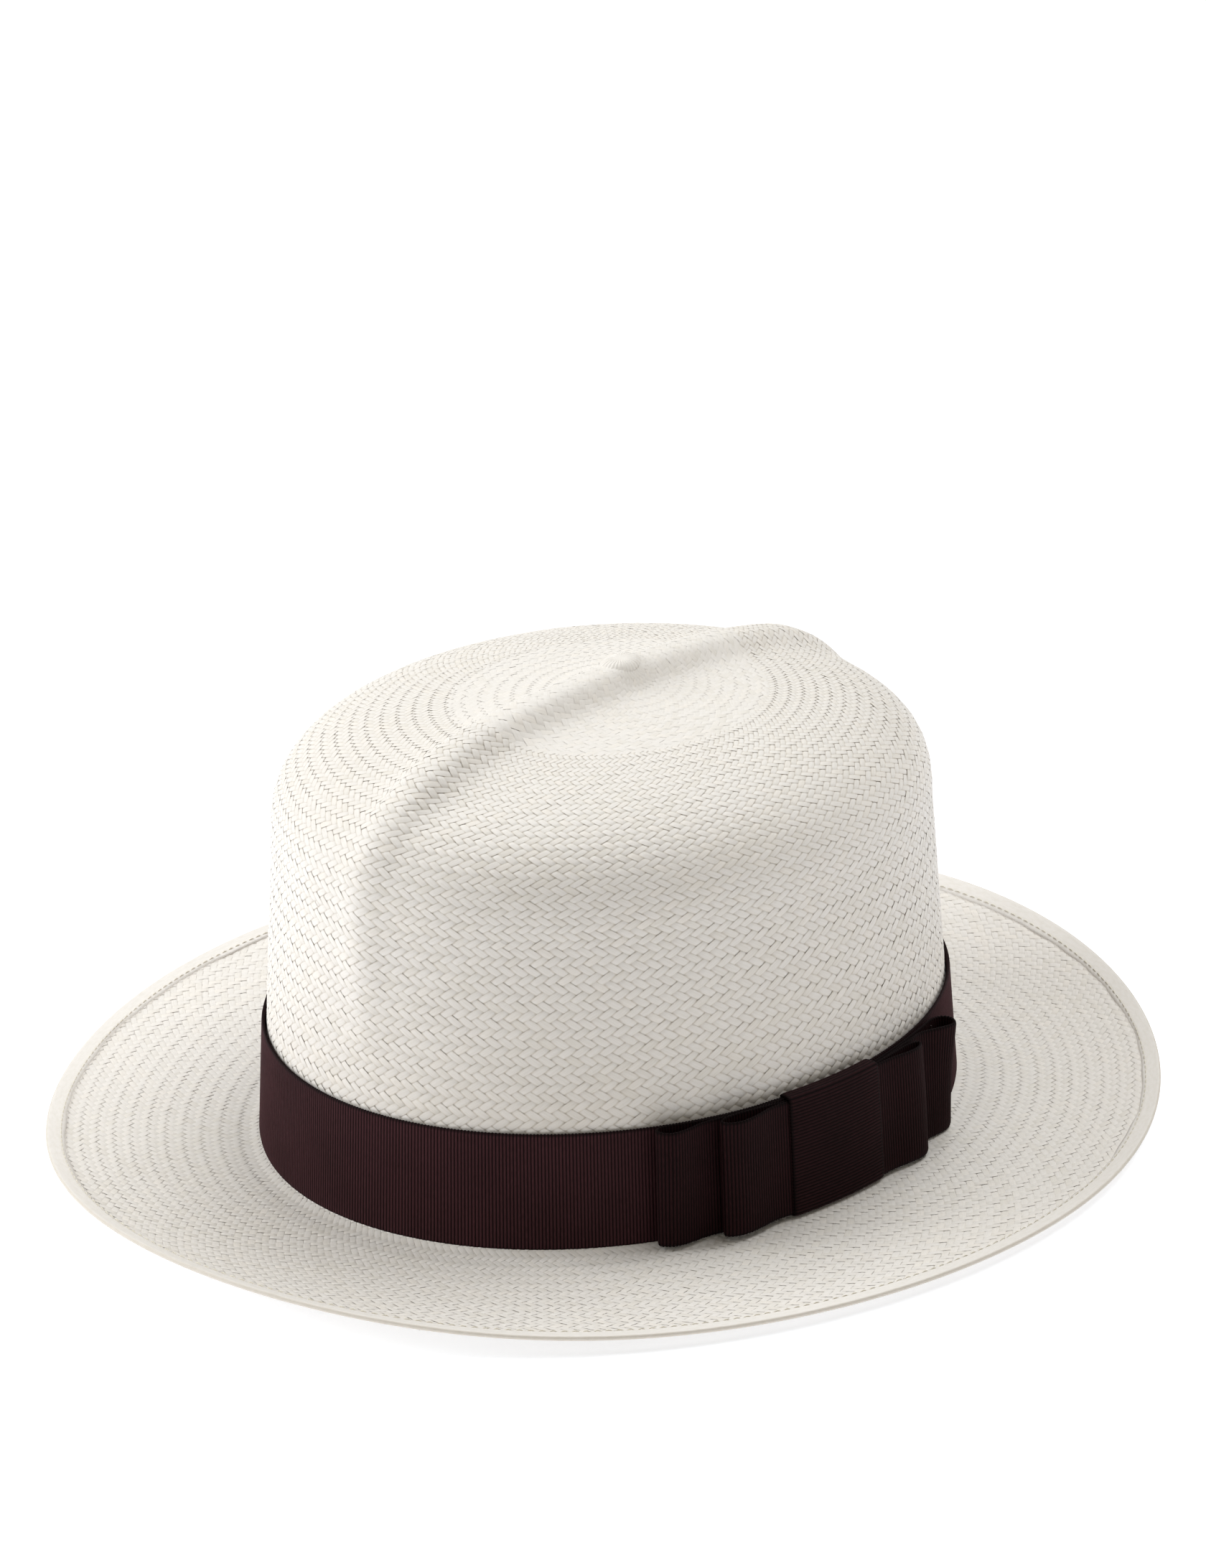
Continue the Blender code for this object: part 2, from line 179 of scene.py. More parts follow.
# Each loop's reach along the band, and how far it stands open at its top and at its bottom.
LONG_LOOP_RIGHT = (math.radians(30.3), 6.0 * MM, 2.0 * MM)
LONG_LOOP_LEFT = (math.radians(30.5), 4.4 * MM, 3.4 * MM)
SHORT_LOOP_RIGHT = (math.radians(19.7), 2.8 * MM, 2.6 * MM)
SHORT_LOOP_LEFT = (math.radians(20.5), 4.2 * MM, 3.2 * MM)
LOOP_RIPPLE = 0.05                     # ripple of the loops, as a share of how far they stand out
LOOP_WAVE = 0.01                       # wave of their edges, as a share of the ribbon's width

# Leather sweatband and its small bow.
LEATHER = 0.8 * MM
LEATHER_SLACK = 0.4 * MM
SWEATBAND_OUT = -GAP - LEATHER / 2
THREAD_RADIUS = 0.25 * MM
THREAD_SINK = 0.35 * MM                # how deep the leather's stitches are pulled into it
THREAD_OUT = -GAP - LEATHER - GAP - THREAD_RADIUS + THREAD_SINK
STITCH_ARCH = 0.3 * MM
HEM_THREAD_RADIUS = 0.16 * MM
HEM_STITCHES = 330
LEATHER_STITCHES = 260
SMALL_RIBBON_WIDTH = 5.0 * MM
SMALL_KNOT_HALF_ANGLE = math.radians(1.5)
SMALL_LOOP_REACH = math.radians(7.0)
SMALL_LOOP_OPENING = 2.0 * MM
SMALL_KNOT_BACK_OUT = -GAP - LEATHER - GAP - RIBBON / 2
SMALL_LOOP_OUT = SMALL_KNOT_BACK_OUT - LAYER
SMALL_KNOT_FRONT_OUT = SMALL_LOOP_OUT - 2 * LAYER

# Camera, as the photograph sees the hat.
CAMERA_AZIMUTH = math.radians(40.58)
CAMERA_ELEVATION = math.radians(24.05)
CAMERA_DISTANCE = 2.0
CAMERA_LENS = 174.3
AIM = Vector((0.0, CENTRE, 48.4 * MM))
LOOK_ABOVE_AIM = 38.2 * MM
LOOK_LEFT_OF_AIM = 2.2 * MM

# Floor and lights.
FLOOR_HALF_WIDTH = 4.0
LIGHT_COLOUR = (0.95, 0.98, 1.0)
SURROUNDING_COLOUR = (1.0, 0.95, 0.86, 1.0)
SURROUNDING_STRENGTH = 0.30


# Shape of the hat. Angles, heights and shares are arrays that broadcast together.

def smooth_step(low, high, value):
    """0 below low, 1 above high, and an S-shaped rise between them."""
    share = np.clip((value - low) / (high - low), 0.0, 1.0)
    return share * share * (3 - 2 * share)


def unit(vectors):
    return vectors / np.linalg.norm(vectors, axis=-1, keepdims=True)


def stacked(x, y, z):
    """Vectors from three values that broadcast together."""
    return np.stack(np.broadcast_arrays(x, y, z), axis=-1).astype(float)


def outward(angle):
    """Horizontal direction away from the head."""
    return unit(stacked(np.sin(angle) / HALF_WIDTH, -np.cos(angle) / HALF_LENGTH, 0.0))


def oval_point(right, back, height):
    """Point at a height, at shares of the crown's half width and half length from its middle."""
    scale = 1 - CROWN_TAPER * np.minimum(height, SHOULDER_HEIGHT)
    y = HALF_LENGTH * scale * back + CROWN_LEAN * height
    return stacked(HALF_WIDTH * scale * right, y + CENTRE, height - TOP_TILT * y * height)


def wall_point(angle, height, out=0.0):
    """Point on the crown's wall, or at a distance out of it."""
    return oval_point(np.sin(angle), -np.cos(angle), height) + outward(angle) * np.expand_dims(out, -1)


def ridge_rise(point, share, height):
    """How far the ridge, its creases and the button lift the straw at points of the crown."""
    is_front = point[..., 1] < CENTRE
    over_band = smooth_step(BAND_TOP, SHOULDER_HEIGHT, height)
    crease = np.where(is_front, FRONT_CREASE_RISE, BACK_CREASE_RISE)
    back_fall = np.where(is_front, 0.0, smooth_step(0.0, RIDGE_LOW_AT_BACK_BY, share))
    top = RIDGE_RISE + (RIDGE_RISE_AT_BACK - RIDGE_RISE) * back_fall
    crest = (top + (crease - top) * smooth_step(CREASE_FROM, 1.0, share)) * over_band
    bend = np.where(is_front, RIDGE_BEND, 0.0) * smooth_step(RIDGE_BENDS_FROM, 1.0, share)
    aside = np.abs(point[..., 0] - bend)
    flank = 1 / (1 + (aside / RIDGE_HALF_WIDTH) ** RIDGE_FLANK_POWER)
    keel = np.where(is_front, FRONT_KEEL_RISE, 0.0) * smooth_step(KEEL_FROM, 1.0, share) * over_band
    keel = keel * np.maximum(0.0, 1 - aside / FRONT_KEEL_REACH) ** KEEL_POWER
    from_button = np.hypot(point[..., 0], point[..., 1] - BUTTON_SET_BACK) / BUTTON_RADIUS
    return crest * flank + keel + BUTTON_RISE * np.exp(-from_button ** 4)


def crown_surface(angle, way):
    """Inner face of the crown: way is 0 at the button, 1 at the foot of the shoulder and 2 at the brim."""
    turn = math.pi / 2 * (1 - np.minimum(way, 1.0))
    across = np.cos(turn)
    up = np.sin(turn)
    radius = (across ** SHOULDER_POWER + up ** SHOULDER_POWER) ** (-1 / SHOULDER_POWER)
    share = radius * across
    middle_back = BUTTON_SET_BACK - CENTRE - CROWN_LEAN * CROWN_HEIGHT
    shift = middle_back / HALF_LENGTH * (1 - smooth_step(0.0, ROUND_BUTTON_BY, share))
    right = share * np.sin(angle)
    back = shift - share * np.cos(angle)
    share = np.minimum(np.hypot(right, back), 1.0)
    rise = (1 - share ** SHOULDER_POWER) ** (1 / SHOULDER_POWER)
    over_shoulder = SHOULDER_HEIGHT + (CROWN_HEIGHT - SHOULDER_HEIGHT) * rise
    height = np.where(way < 1, over_shoulder, SHOULDER_HEIGHT * (2 - way))
    share = np.where(way < 1, share, 1.0)
    point = oval_point(right, back, height)
    facing = outward(angle) * share[..., None] + stacked(0.0, 0.0, np.where(way < 1, rise, 0.0))
    return point + unit(facing) * ridge_rise(point, share, height)[..., None]


def brim_width(angle):
    waves = enumerate(BRIM_WIDTH_WAVES, start=1)
    return BRIM_WIDTH + sum(size * np.cos(order * angle) for order, size in waves)


def brim_lift(angle):
    """Height of the brim's edge: it rises at the front and at the back."""
    front = np.maximum(0.0, np.cos(angle))
    back = np.maximum(0.0, -np.cos(angle))
    front_rise = BRIM_FRONT_LIFT * front ** FRONT_LIFT_POWER
    back_rise = BRIM_BACK_LIFT * back ** BACK_LIFT_POWER
    return BRIM_EDGE_HEIGHT + front_rise + back_rise


def brim_point(angle, out):
    """Underside of the brim at a distance out."""
    rise = np.maximum(0.0, out - BRIM_FLAT) / (brim_width(angle) - BRIM_FLAT)
    root = ROOT_RISE * np.maximum(0.0, 1 - out / ROOT_REACH) ** 2
    point = oval_point(np.sin(angle), -np.cos(angle), 0.0) + outward(angle) * np.expand_dims(out, -1)
    return point + stacked(0.0, 0.0, root + brim_lift(angle) * rise ** BRIM_CURL_POWER)


def brim_surface(angle, way):
    """Underside of the brim: way is 0 at the crown and 1 where the hem begins."""
    return brim_point(angle, way * (brim_width(angle) - HEM_WIDTH))


# Materials.

class Shader:
    """A material under construction: its nodes, and short ways to add and link them."""

    def __init__(self, name, roughness, specular):
        self.material = bpy.data.materials.new(name)
        self.material.use_nodes = True
        self.tree = self.material.node_tree
        self.surface = self.tree.nodes["Principled BSDF"]
        self.surface.inputs["Roughness"].default_value = roughness
        self.surface.inputs["Specular IOR Level"].default_value = specular

    def node(self, kind, settings=None, **inputs):
        made = self.tree.nodes.new(kind)
        for name, value in (settings or {}).items():
            setattr(made, name, value)
        for name, value in inputs.items():
            self.feed(made.inputs[name], value)
        return made

    def feed(self, socket, value):
        """Link another node's output to a socket, or set the socket to a plain value."""
        if isinstance(value, bpy.types.NodeSocket):
            self.tree.links.new(value, socket)
        else:
            socket.default_value = value

    def math(self, operation, first, second):
        made = self.node("ShaderNodeMath", {"operation": operation})
        self.feed(made.inputs[0], first)
        self.feed(made.inputs[1], second)
        return made.outputs[0]

    def attribute(self, name):
        return self.node("ShaderNodeAttribute", {"attribute_name": name})

    def stretched(self, vector, scale):
        return self.node("ShaderNodeMapping", Vector=vector, Scale=scale).outputs[0]

    def noise(self, vector, scale, detail=2.0):
        return self.node("ShaderNodeTexNoise", Vector=vector, Scale=scale, Detail=detail).outputs["Fac"]

    def ramp(self, factor, stops):
        """Colours between stops, each a place and a colour."""
        made = self.node("ShaderNodeValToRGB", Fac=factor)
        elements = made.color_ramp.elements
        while len(elements) < len(stops):
            elements.new(0.5)
        for element, (place, colour) in zip(elements, stops):
            element.position = place
            element.color = (*colour, 1.0)
        return made.outputs["Color"]

    def darkened(self, colour, by, factor=1.0):
        """One colour multiplied by another."""
        made = self.node("ShaderNodeMix", {"data_type": "RGBA", "blend_type": "MULTIPLY"}, Factor=factor)
        sockets = [socket for socket in made.inputs if socket.type == "RGBA"]
        self.feed(sockets[0], colour)
        self.feed(sockets[1], by)
        return next(socket for socket in made.outputs if socket.type == "RGBA")

    def colour(self, socket):
        self.tree.links.new(socket, self.surface.inputs["Base Color"])

    def bump(self, height, depth, strength):
        made = self.node("ShaderNodeBump", Height=height, Distance=depth, Strength=strength)
        self.tree.links.new(made.outputs[0], self.surface.inputs["Normal"])

    def coordinates(self):
        return self.node("ShaderNodeTexCoord").outputs["Object"]


def straw_material(name):
    """Bleached toquilla straw: each straw has its own tone, with fine fibres along it and painted shade at its
    dives and edges.
    """
    shader = Shader(name, roughness=0.5, specular=0.35)
    tone = shader.attribute("tone").outputs["Fac"]
    fibres = shader.noise(shader.attribute("grain").outputs["Vector"], 1.0, 3.0)
    straw = shader.ramp(tone, [
        (0.0, (0.845, 0.80, 0.74)),
        (0.25, (0.865, 0.825, 0.78)),
        (0.75, (0.88, 0.84, 0.795)),
        (1.0, (0.89, 0.84, 0.78)),
    ])
    streaks = shader.ramp(fibres, [(0.3, (0.95, 0.945, 0.925)), (0.6, WHITE)])
    # Painted shade: the straw is darkened where it dives under another and along its edges.
    painted_light_level = shader.attribute("painted_light_level").outputs["Fac"]
    edges = shader.ramp(painted_light_level, [(0.15, (0.72, 0.67, 0.59)), (0.55, WHITE)])
    shader.colour(shader.darkened(shader.darkened(straw, streaks), edges))
    shader.bump(fibres, 0.05 * MM, 0.6)
    return shader.material


def grosgrain_material(name, dark, light):
    """Ribbed ribbon: fine threads cross the modelled ribs, and shade is painted darkest between the ribs."""
    shader = Shader(name, roughness=0.7, specular=0.07)
    threads = shader.attribute("grain").outputs["Vector"]
    fine = shader.noise(shader.stretched(threads, (0.6, 9.0, 1.0)), 1.0)
    cloudy = shader.noise(shader.coordinates(), 60.0, 3.0)
    tone = shader.math("ADD", shader.math("MULTIPLY", fine, 0.7), shader.math("MULTIPLY", cloudy, 0.3))
    # Painted shade in the valleys between the ribs.
    painted_light_level = shader.attribute("painted_light_level").outputs["Fac"]
    painted_valley_shade = shader.ramp(painted_light_level, [(0.1, (0.08, 0.07, 0.07)), (0.85, WHITE)])
    yarn = shader.ramp(tone, [(0.35, dark), (0.65, light)])
    shader.colour(shader.darkened(yarn, painted_valley_shade))
    shader.bump(fine, 0.06 * MM, 0.5)
    shader.surface.inputs["Sheen Weight"].default_value = 0.025
    shader.surface.inputs["Sheen Roughness"].default_value = 0.4
    shader.surface.inputs["Sheen Tint"].default_value = (0.75, 0.6, 0.6, 1.0)
    return shader.material


def thread_material(name, dark, light):
    """Twisted sewing thread, matt, with a fine change of tone from ply to ply."""
    shader = Shader(name, roughness=0.7, specular=0.3)
    plies = shader.noise(shader.coordinates(), 3500.0)
    shader.colour(shader.ramp(plies, [(0.35, dark), (0.65, light)]))
    shader.bump(plies, 0.05 * MM, 0.6)
    return shader.material


def leather_material(name, dark, light):
    """Smooth tan leather with fine pores and a soft mottle."""
    shader = Shader(name, roughness=0.45, specular=0.4)
    where = shader.coordinates()
    mottle = shader.noise(where, 45.0, 4.0)
    cells = shader.node("ShaderNodeTexVoronoi", {"feature": "DISTANCE_TO_EDGE"}, Vector=where, Scale=1300.0)
    grain = shader.math("MINIMUM", shader.math("MULTIPLY", cells.outputs["Distance"], 4.0), 1.0)
    hide = shader.ramp(mottle, [(0.3, dark), (0.7, light)])
    pores = shader.ramp(grain, [(0.0, (0.7, 0.65, 0.6)), (0.5, WHITE)])
    shader.colour(shader.darkened(hide, pores, factor=0.5))
    shader.bump(grain, 0.06 * MM, 0.7)
    return shader.material


def floor_material():
    """Pale floor that glows a little, so that it is white round the hat and its shadow stays light."""
    shader = Shader("floor", roughness=0.9, specular=0.1)
    shader.surface.inputs["Emission Color"].default_value = (0.96, 0.98, 1.0, 1.0)
    shader.surface.inputs["Emission Strength"].default_value = 0.42
    mottle = shader.noise(shader.coordinates(), 3.0)
    shader.colour(shader.ramp(mottle, [(0.0, (0.83, 0.84, 0.87)), (1.0, (0.85, 0.86, 0.89))]))
    return shader.material


# Mesh building blocks.

def make_piece(name, vertices, faces, material, stands_for, attributes):
    """Mesh piece that rides on the hat, stands for CAD nodes and carries named values on its vertices."""
    mesh = bpy.data.meshes.new(name)
    mesh.from_pydata(vertices.reshape(-1, 3).tolist(), [], faces.tolist())
    for label, values in attributes.items():
        kind, key = ("FLOAT", "value") if values.ndim == 1 else ("FLOAT_VECTOR", "vector")
        layer = mesh.attributes.new(label, kind, "POINT")
        layer.data.foreach_set(key, values.astype(np.float32).ravel())
    mesh.shade_smooth()
    mesh.materials.append(material)
    piece = bpy.data.objects.new(name, mesh)
    bpy.context.scene.collection.objects.link(piece)
    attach(piece, ROOT)
    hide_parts(*stands_for)
    return piece


def grid_faces(rows, columns, closed_rows=False, closed_columns=False):
    """Quads of a grid whose vertices are numbered row by row."""
    row_steps = np.arange(rows if closed_rows else rows - 1)
    column_steps = np.arange(columns if closed_columns else columns - 1)
    row, column = np.meshgrid(row_steps, column_steps, indexing="ij")
    next_row = (row + 1) % rows
    next_column = (column + 1) % columns
    corners = ((row, column), (next_row, column), (next_row, next_column), (row, next_column))
    return np.stack([r * columns + c for r, c in corners], axis=-1).reshape(-1, 4)


def repeated_faces(count, rows, columns, **closed):
    """Quads of a number of equal grids, numbered one after another."""
    faces = grid_faces(rows, columns, **closed)
    starts = np.arange(count) * rows * columns
    return (faces[None] + starts[:, None, None]).reshape(-1, 4)


# Weave.

def float_height(crossing):
    """Height of a straw along its crossings: over two, then under two, from -1 to 1."""
    swing = np.cos(math.pi / 2 * (crossing - 0.5))
    return np.tanh(FLOAT_STEEPNESS * swing)


def float_stations(first_row, last_row):
    """Places along a straw, counted in crossings, at which it is modelled between two rows."""
    low = 2 * first_row
    high = 2 * last_row
    fours = 4 * np.arange(low // 4 - 1, high // 4 + 1)
    places = (fours[:, None] + FLOAT_PLACES).ravel()
    return np.concatenate([[low], places[(places > low) & (places < high)], [high]])


class Cloth:
    """Woven layer on a surface(angle, way), with the row that each way lies on."""

    def __init__(self, surface, rows_per_metre, longest_way):
        self.surface = surface
        self.ways = np.linspace(0.0, longest_way, CLOTH_SAMPLES)
        line = surface(np.full_like(self.ways, math.pi / 2), self.ways)
        steps = np.linalg.norm(np.diff(line, axis=0), axis=1)
        self.lengths = np.concatenate([[0.0], np.cumsum(steps)])
        density = rows_per_metre(self.ways)
        self.rows = np.concatenate([[0.0], np.cumsum(steps * (density[1:] + density[:-1]) / 2)])

    def row_at_way(self, way):
        return float(np.interp(way, self.ways, self.rows))

    def row_at_length(self, length):
        return float(np.interp(length, self.lengths, self.rows))

    def crossing_point(self, first, second, straws):
        """Point where a straw of the first family meets one of the second."""
        angle = math.pi * (first + second) / straws
        row = (first - second) / 2
        return self.surface(angle, np.interp(row, self.rows, self.ways))

    def lie(self, own, other, straws, family):
        """Points of one family's straws, the way the cloth faces there and the spacing of its straws."""
        first, second = (own, other) if family == 1 else (other, own)
        point = self.crossing_point(first, second, straws)
        to_first = self.crossing_point(first + SMALL_STEP, second, straws) - point
        to_second = self.crossing_point(first, second + SMALL_STEP, straws) - point
        normal = np.cross(to_first, to_second)
        along = to_second if family == 1 else to_first
        spacing = np.linalg.norm(normal, axis=-1) / np.linalg.norm(along, axis=-1) / SMALL_STEP
        return point, unit(normal), spacing

    def weave_family(self, family, straws, stations, relief):
        """Vertices and vertex values of one family of straws, each a strip of three points across."""
        each = (straws, 1, 1)
        number = np.arange(straws)[:, None, None]
        crossing = stations[None, :, None]
        edge = np.array([-1.0, 0.0, 1.0])[None, None, :]
        packing = INNER_FILL if straws < CROWN_STRAWS else 1.0
        own_width = (1 + WIDTH_SPREAD * CHANCE.standard_normal(each)).clip(*WIDTH_LIMITS)
        along = crossing + PLACE_SPREAD * CHANCE.standard_normal(each)
        own = number + edge * (STRAW_FILL * packing * own_width)
        point, normal, spacing = self.lie(own, number - family * along, straws, family)
        lift = family * float_height(crossing) * WEAVE_RISE - STRAW_CAMBER * edge ** 2
        lift = lift + LIFT_SPREAD * CHANCE.standard_normal(each)
        height = STRAW_LIFT + spacing * lift * relief
        tone = CHANCE.random(each) + TONE_SPREAD * CHANCE.standard_normal(height.shape)
        # Painted shade where the straw dives under its neighbour and along its edges, less where the relief is
        # lower.
        dive = 1 - np.abs(float_height(crossing))
        painted_light_level = 1 - relief * (DIVE_SHADE * dive + EDGE_SHADE * edge ** 2)
        grain = stacked(crossing * 0.35, edge * 2.2, 9.0 * number + 3000.0 * (family == 1))
        return {
            "vertices": (point + normal * height[..., None]).reshape(-1, 3),
            "tone": tone.clip(0, 1).ravel(),
            "painted_light_level": np.broadcast_to(painted_light_level, height.shape).ravel(),
            "grain": np.broadcast_to(grain, (*height.shape, 3)).reshape(-1, 3),
        }

    def weave(self, straws, first_row, last_row, relief=1.0):
        """Vertices, vertex values and faces of all straws of both families between two rows."""
        stations = float_stations(first_row, last_row)
        families = [self.weave_family(family, straws, stations, relief) for family in (1, -1)]
        zone = joined(families)
        zone["faces"] = repeated_faces(2 * straws, len(stations), 3)
        return zone


def joined(parts):
    """The values of several parts, end to end under each label."""
    return {label: np.concatenate([part[label] for part in parts]) for label in parts[0]}


def make_woven_piece(name, zones, material, stands_for):
    """One piece from several zones of weave."""
    counts = [len(zone["vertices"]) for zone in zones]
    starts = np.cumsum([0, *counts[:-1]])
    whole = joined([{**zone, "faces": zone["faces"] + start} for zone, start in zip(zones, starts)])
    vertices = whole.pop("vertices")
    faces = whole.pop("faces")
    return make_piece(name, vertices, faces, material, stands_for, whole)


def make_crown(material):
    """Straws double in number at each ring on their way out from the button, then run down to the brim."""
    def rows_per_metre(way):
        change = smooth_step(ROWS_CHANGE_FROM, ROWS_CHANGE_TO, way)
        return ROWS_ON_TOP + (ROWS_ON_WALL - ROWS_ON_TOP) * change

    cloth = Cloth(crown_surface, rows_per_metre, longest_way=2.0)
    starts = [cloth.row_at_length(radius) for radius, straws, relief in RINGS]
    shoulder = round(cloth.row_at_way(1.0))
    bottom = cloth.row_at_way(2.0) - WALL_ROWS_CUT
    ends = [*starts[1:], shoulder]
    top = [
        cloth.weave(straws, start - ZONE_OVERLAP, end + ZONE_OVERLAP, relief)
        for (radius, straws, relief), start, end in zip(RINGS, starts, ends)
    ]
    make_woven_piece("straw_crown_top", top[:-1], material, ["straw_crown"])
    make_woven_piece("straw_crown_shoulder", top[-1:], material, ["straw_crown"])
    wall = cloth.weave(CROWN_STRAWS, shoulder, bottom)
    make_woven_piece("straw_crown_wall", [wall], material, ["straw_crown"])


def make_button(material):
    """Smooth knot of straws at the crown's middle, whose fibres run outwards."""
    spokes = 240
    rings = 14
    edge = 0.045
    thickness = 0.5 * MM
    rib_count = 30
    rib_height = 0.08 * MM
    rib_twist = 9
    rim_drop = 0.8 * MM
    angle = np.linspace(0.0, FULL_TURN, spokes, endpoint=False)[None, :]
    way = np.linspace(0.001, edge, rings)[:, None]
    point = crown_surface(*np.broadcast_arrays(angle, way))
    ribs = rib_height * np.cos(rib_count * angle + rib_twist * way) * smooth_step(0.0, edge / 2, way)
    rim = rim_drop * smooth_step(0.6 * edge, edge, way)
    height = STRAW_LIFT + thickness + ribs - rim
    point = point + stacked(0.0, 0.0, 1.0) * height[..., None]
    point[0] = point[0].mean(axis=0)
    tone = 0.6 + 0.3 * np.cos(17 * angle) * np.ones_like(way)
    grain = stacked(way * 20, angle * 14, 5.0)
    faces = grid_faces(rings, spokes, closed_columns=True)
    values = {"tone": tone.ravel(), "painted_light_level": np.ones(tone.size), "grain": grain.reshape(-1, 3)}
    make_piece("straw_button", point, faces, material, ["straw_crown"], values)


def make_brim(material):
    """The brim's weave in two rings, from the crown to just under the hem."""
    def rows_per_metre(way):
        return BRIM_ROWS_INSIDE + (BRIM_ROWS_OUTSIDE - BRIM_ROWS_INSIDE) * way

    cloth = Cloth(brim_surface, rows_per_metre, longest_way=1.05)
    end = cloth.row_at_way(BRIM_LAST_WAY)
    middle = round(end / 2)
    inside = cloth.weave(BRIM_STRAWS, BRIM_FIRST_ROW, middle + ZONE_OVERLAP, BRIM_RELIEF)
    make_woven_piece("straw_brim_inside", [inside], material, ["straw_brim"])
    outside = cloth.weave(BRIM_STRAWS, middle, end, BRIM_RELIEF)
    make_woven_piece("straw_brim_outside", [outside], material, ["straw_brim"])


def make_hem(material):
    """Edge of the brim folded back onto its top, as a flattened tube with a rounded fold."""
    stations = 960
    steps = 9
    half = HEM_THICKNESS / 2
    angle = np.linspace(0.0, FULL_TURN, stations, endpoint=False)[None, :]
    fold = np.linspace(-math.pi / 2, math.pi / 2, steps)
    flat = np.linspace(HEM_WIDTH, half, steps)
    inset = np.concatenate([flat, half * (1 - np.cos(fold)), flat[-2::-1]])[:, None]
    level = np.concatenate([-np.ones(steps), np.sin(fold), np.ones(steps - 1)])[:, None]
    is_top = level > 0.99
    cut = smooth_step(0.75, 1.0, inset / HEM_WIDTH) * is_top
    waver = HEM_WAVER * (np.sin(23 * angle) + np.sin(61 * angle + 1)) + HEM_NICKS * np.sin(7 * angle) ** 9
    point = brim_point(angle, brim_width(angle) - inset - cut * waver)
    height = HEM_CLEARANCE + half * (1 + level) - HEM_CUT_SINK * cut
    point = point + stacked(0.0, 0.0, height)
    # Painted shade along the hem's rounded fold and in a broken line at its cut edge.
    fold_shade = FOLD_SHADE * (1 - smooth_step(0.0, HEM_THICKNESS, inset))
    cut_shade = CUT_SHADE * (cut > 0.9) * (0.6 + 0.4 * np.sin(9 * angle) * np.sin(41 * angle))
    painted_light_level = 1 - fold_shade - cut_shade
    tone = 0.55 + 0.15 * np.sin(31 * angle) + 0 * inset
    grain = stacked(angle * 60, inset / MM * 1.2, 2.0)
    faces = grid_faces(len(inset), stations, closed_rows=True, closed_columns=True)
    values = {"tone": tone.ravel(), "painted_light_level": painted_light_level.ravel(), "grain": grain.reshape(-1, 3)}
    make_piece("straw_hem", point, faces, material, ["straw_brim"], values)


# Ribbons.

def make_ribbon(name, points, widths, material, stands_for, rise=RIB_RISE, thickness=RIBBON):
    """Ribbed ribbon along a closed run.

    Points hold its middle surface, by place across the width and by place along the run.
    """
    levels, stations = points.shape[:2]
    along = np.roll(points, -1, axis=1) - np.roll(points, 1, axis=1)
    across = np.gradient(points, axis=0)
    normal = unit(np.cross(along, across))
    phase = FULL_TURN * np.arange(stations)[None, :] / SAMPLES_PER_RIB
    from_edge = np.minimum(widths, widths[-1] - widths)[:, None]
    fullness = 0.35 + 0.65 * smooth_step(0.2 * MM, SELVEDGE, from_edge)
    rib = rise * np.sqrt(0.5 - 0.5 * np.cos(phase)) * fullness
    scallop = SELVEDGE_SCALLOP * np.cos(phase) * smooth_step(SELVEDGE / 2, 0.0, from_edge)
    side = np.sign(widths - widths[-1] / 2)[:, None]
    points = points + unit(across) * (scallop * side)[..., None]
    half = thickness / 2 * (0.6 + 0.4 * smooth_step(0.0, SELVEDGE_ROUND, from_edge))
    front = points + normal * (half + rib)[..., None]
    back = points - normal * (half + rib)[..., None]
    section = np.concatenate([front, back[::-1]])
    section_widths = np.concatenate([widths, widths[::-1]])[:, None]
    grain = stacked(section_widths / MM, phase / FULL_TURN, 1.0)
    # Painted shade between the ribs: the value falls from 1 on a rib's crest to 0 in its valley.
    painted_light_level = np.concatenate([rib, rib[::-1]]) / rise if rise else np.ones(section.shape[:2])
    faces = grid_faces(2 * levels, stations, closed_rows=True, closed_columns=True)
    values = {"grain": grain.reshape(-1, 3), "painted_light_level": painted_light_level.ravel()}
    return make_piece(name, section, faces, material, stands_for, values)


def ribbon_levels(width, inner_levels):
    """Places across a ribbon's width, close together at its two selvedges."""
    edge = np.array([0.0, SELVEDGE_ROUND, SELVEDGE])
    middle = np.linspace(SELVEDGE, width - SELVEDGE, inner_levels + 2)[1:-1]
    return np.concatenate([edge, middle, width - edge[::-1]])


def resampled(run):
    """The closed run of plan points at equal distances, a whole number of ribs in all."""
    run = np.concatenate([run, run[:1]])
    steps = np.linalg.norm(np.diff(run, axis=0), axis=1)
    lengths = np.concatenate([[0.0], np.cumsum(steps)])
    ribs = round(lengths[-1] / (RIB_STEP * SAMPLES_PER_RIB))
    places = np.linspace(0.0, lengths[-1], ribs * SAMPLES_PER_RIB, endpoint=False)
    return np.stack([np.interp(places, lengths, run[:, axis]) for axis in range(run.shape[1])], axis=-1)


def smoothed(corners, rounds):
    """Closed run with its corners cut again and again, which ends as a smooth curve."""
    run = np.array(corners, float)
    for _ in range(rounds):
        following = np.roll(run, -1, axis=0)
        run = np.stack([0.75 * run + 0.25 * following, 0.25 * run + 0.75 * following], axis=1).reshape(-1, 2)
    return run


def make_hatband(material):
    """Ribbon stretched round the foot of the crown."""
    angle = np.linspace(0.0, FULL_TURN, 1440, endpoint=False)
    run = resampled(wall_point(angle, BAND_BOTTOM, BAND_OUT)[:, :2])
    angle = np.arctan2(run[:, 0] / HALF_WIDTH, -(run[:, 1] - CENTRE) / HALF_LENGTH)
    widths = ribbon_levels(BAND_WIDTH, 6)
    points = wall_point(angle[None, :], BAND_BOTTOM + widths[:, None], BAND_OUT)
    band = make_ribbon("band", points, widths, material, ["hatband"])


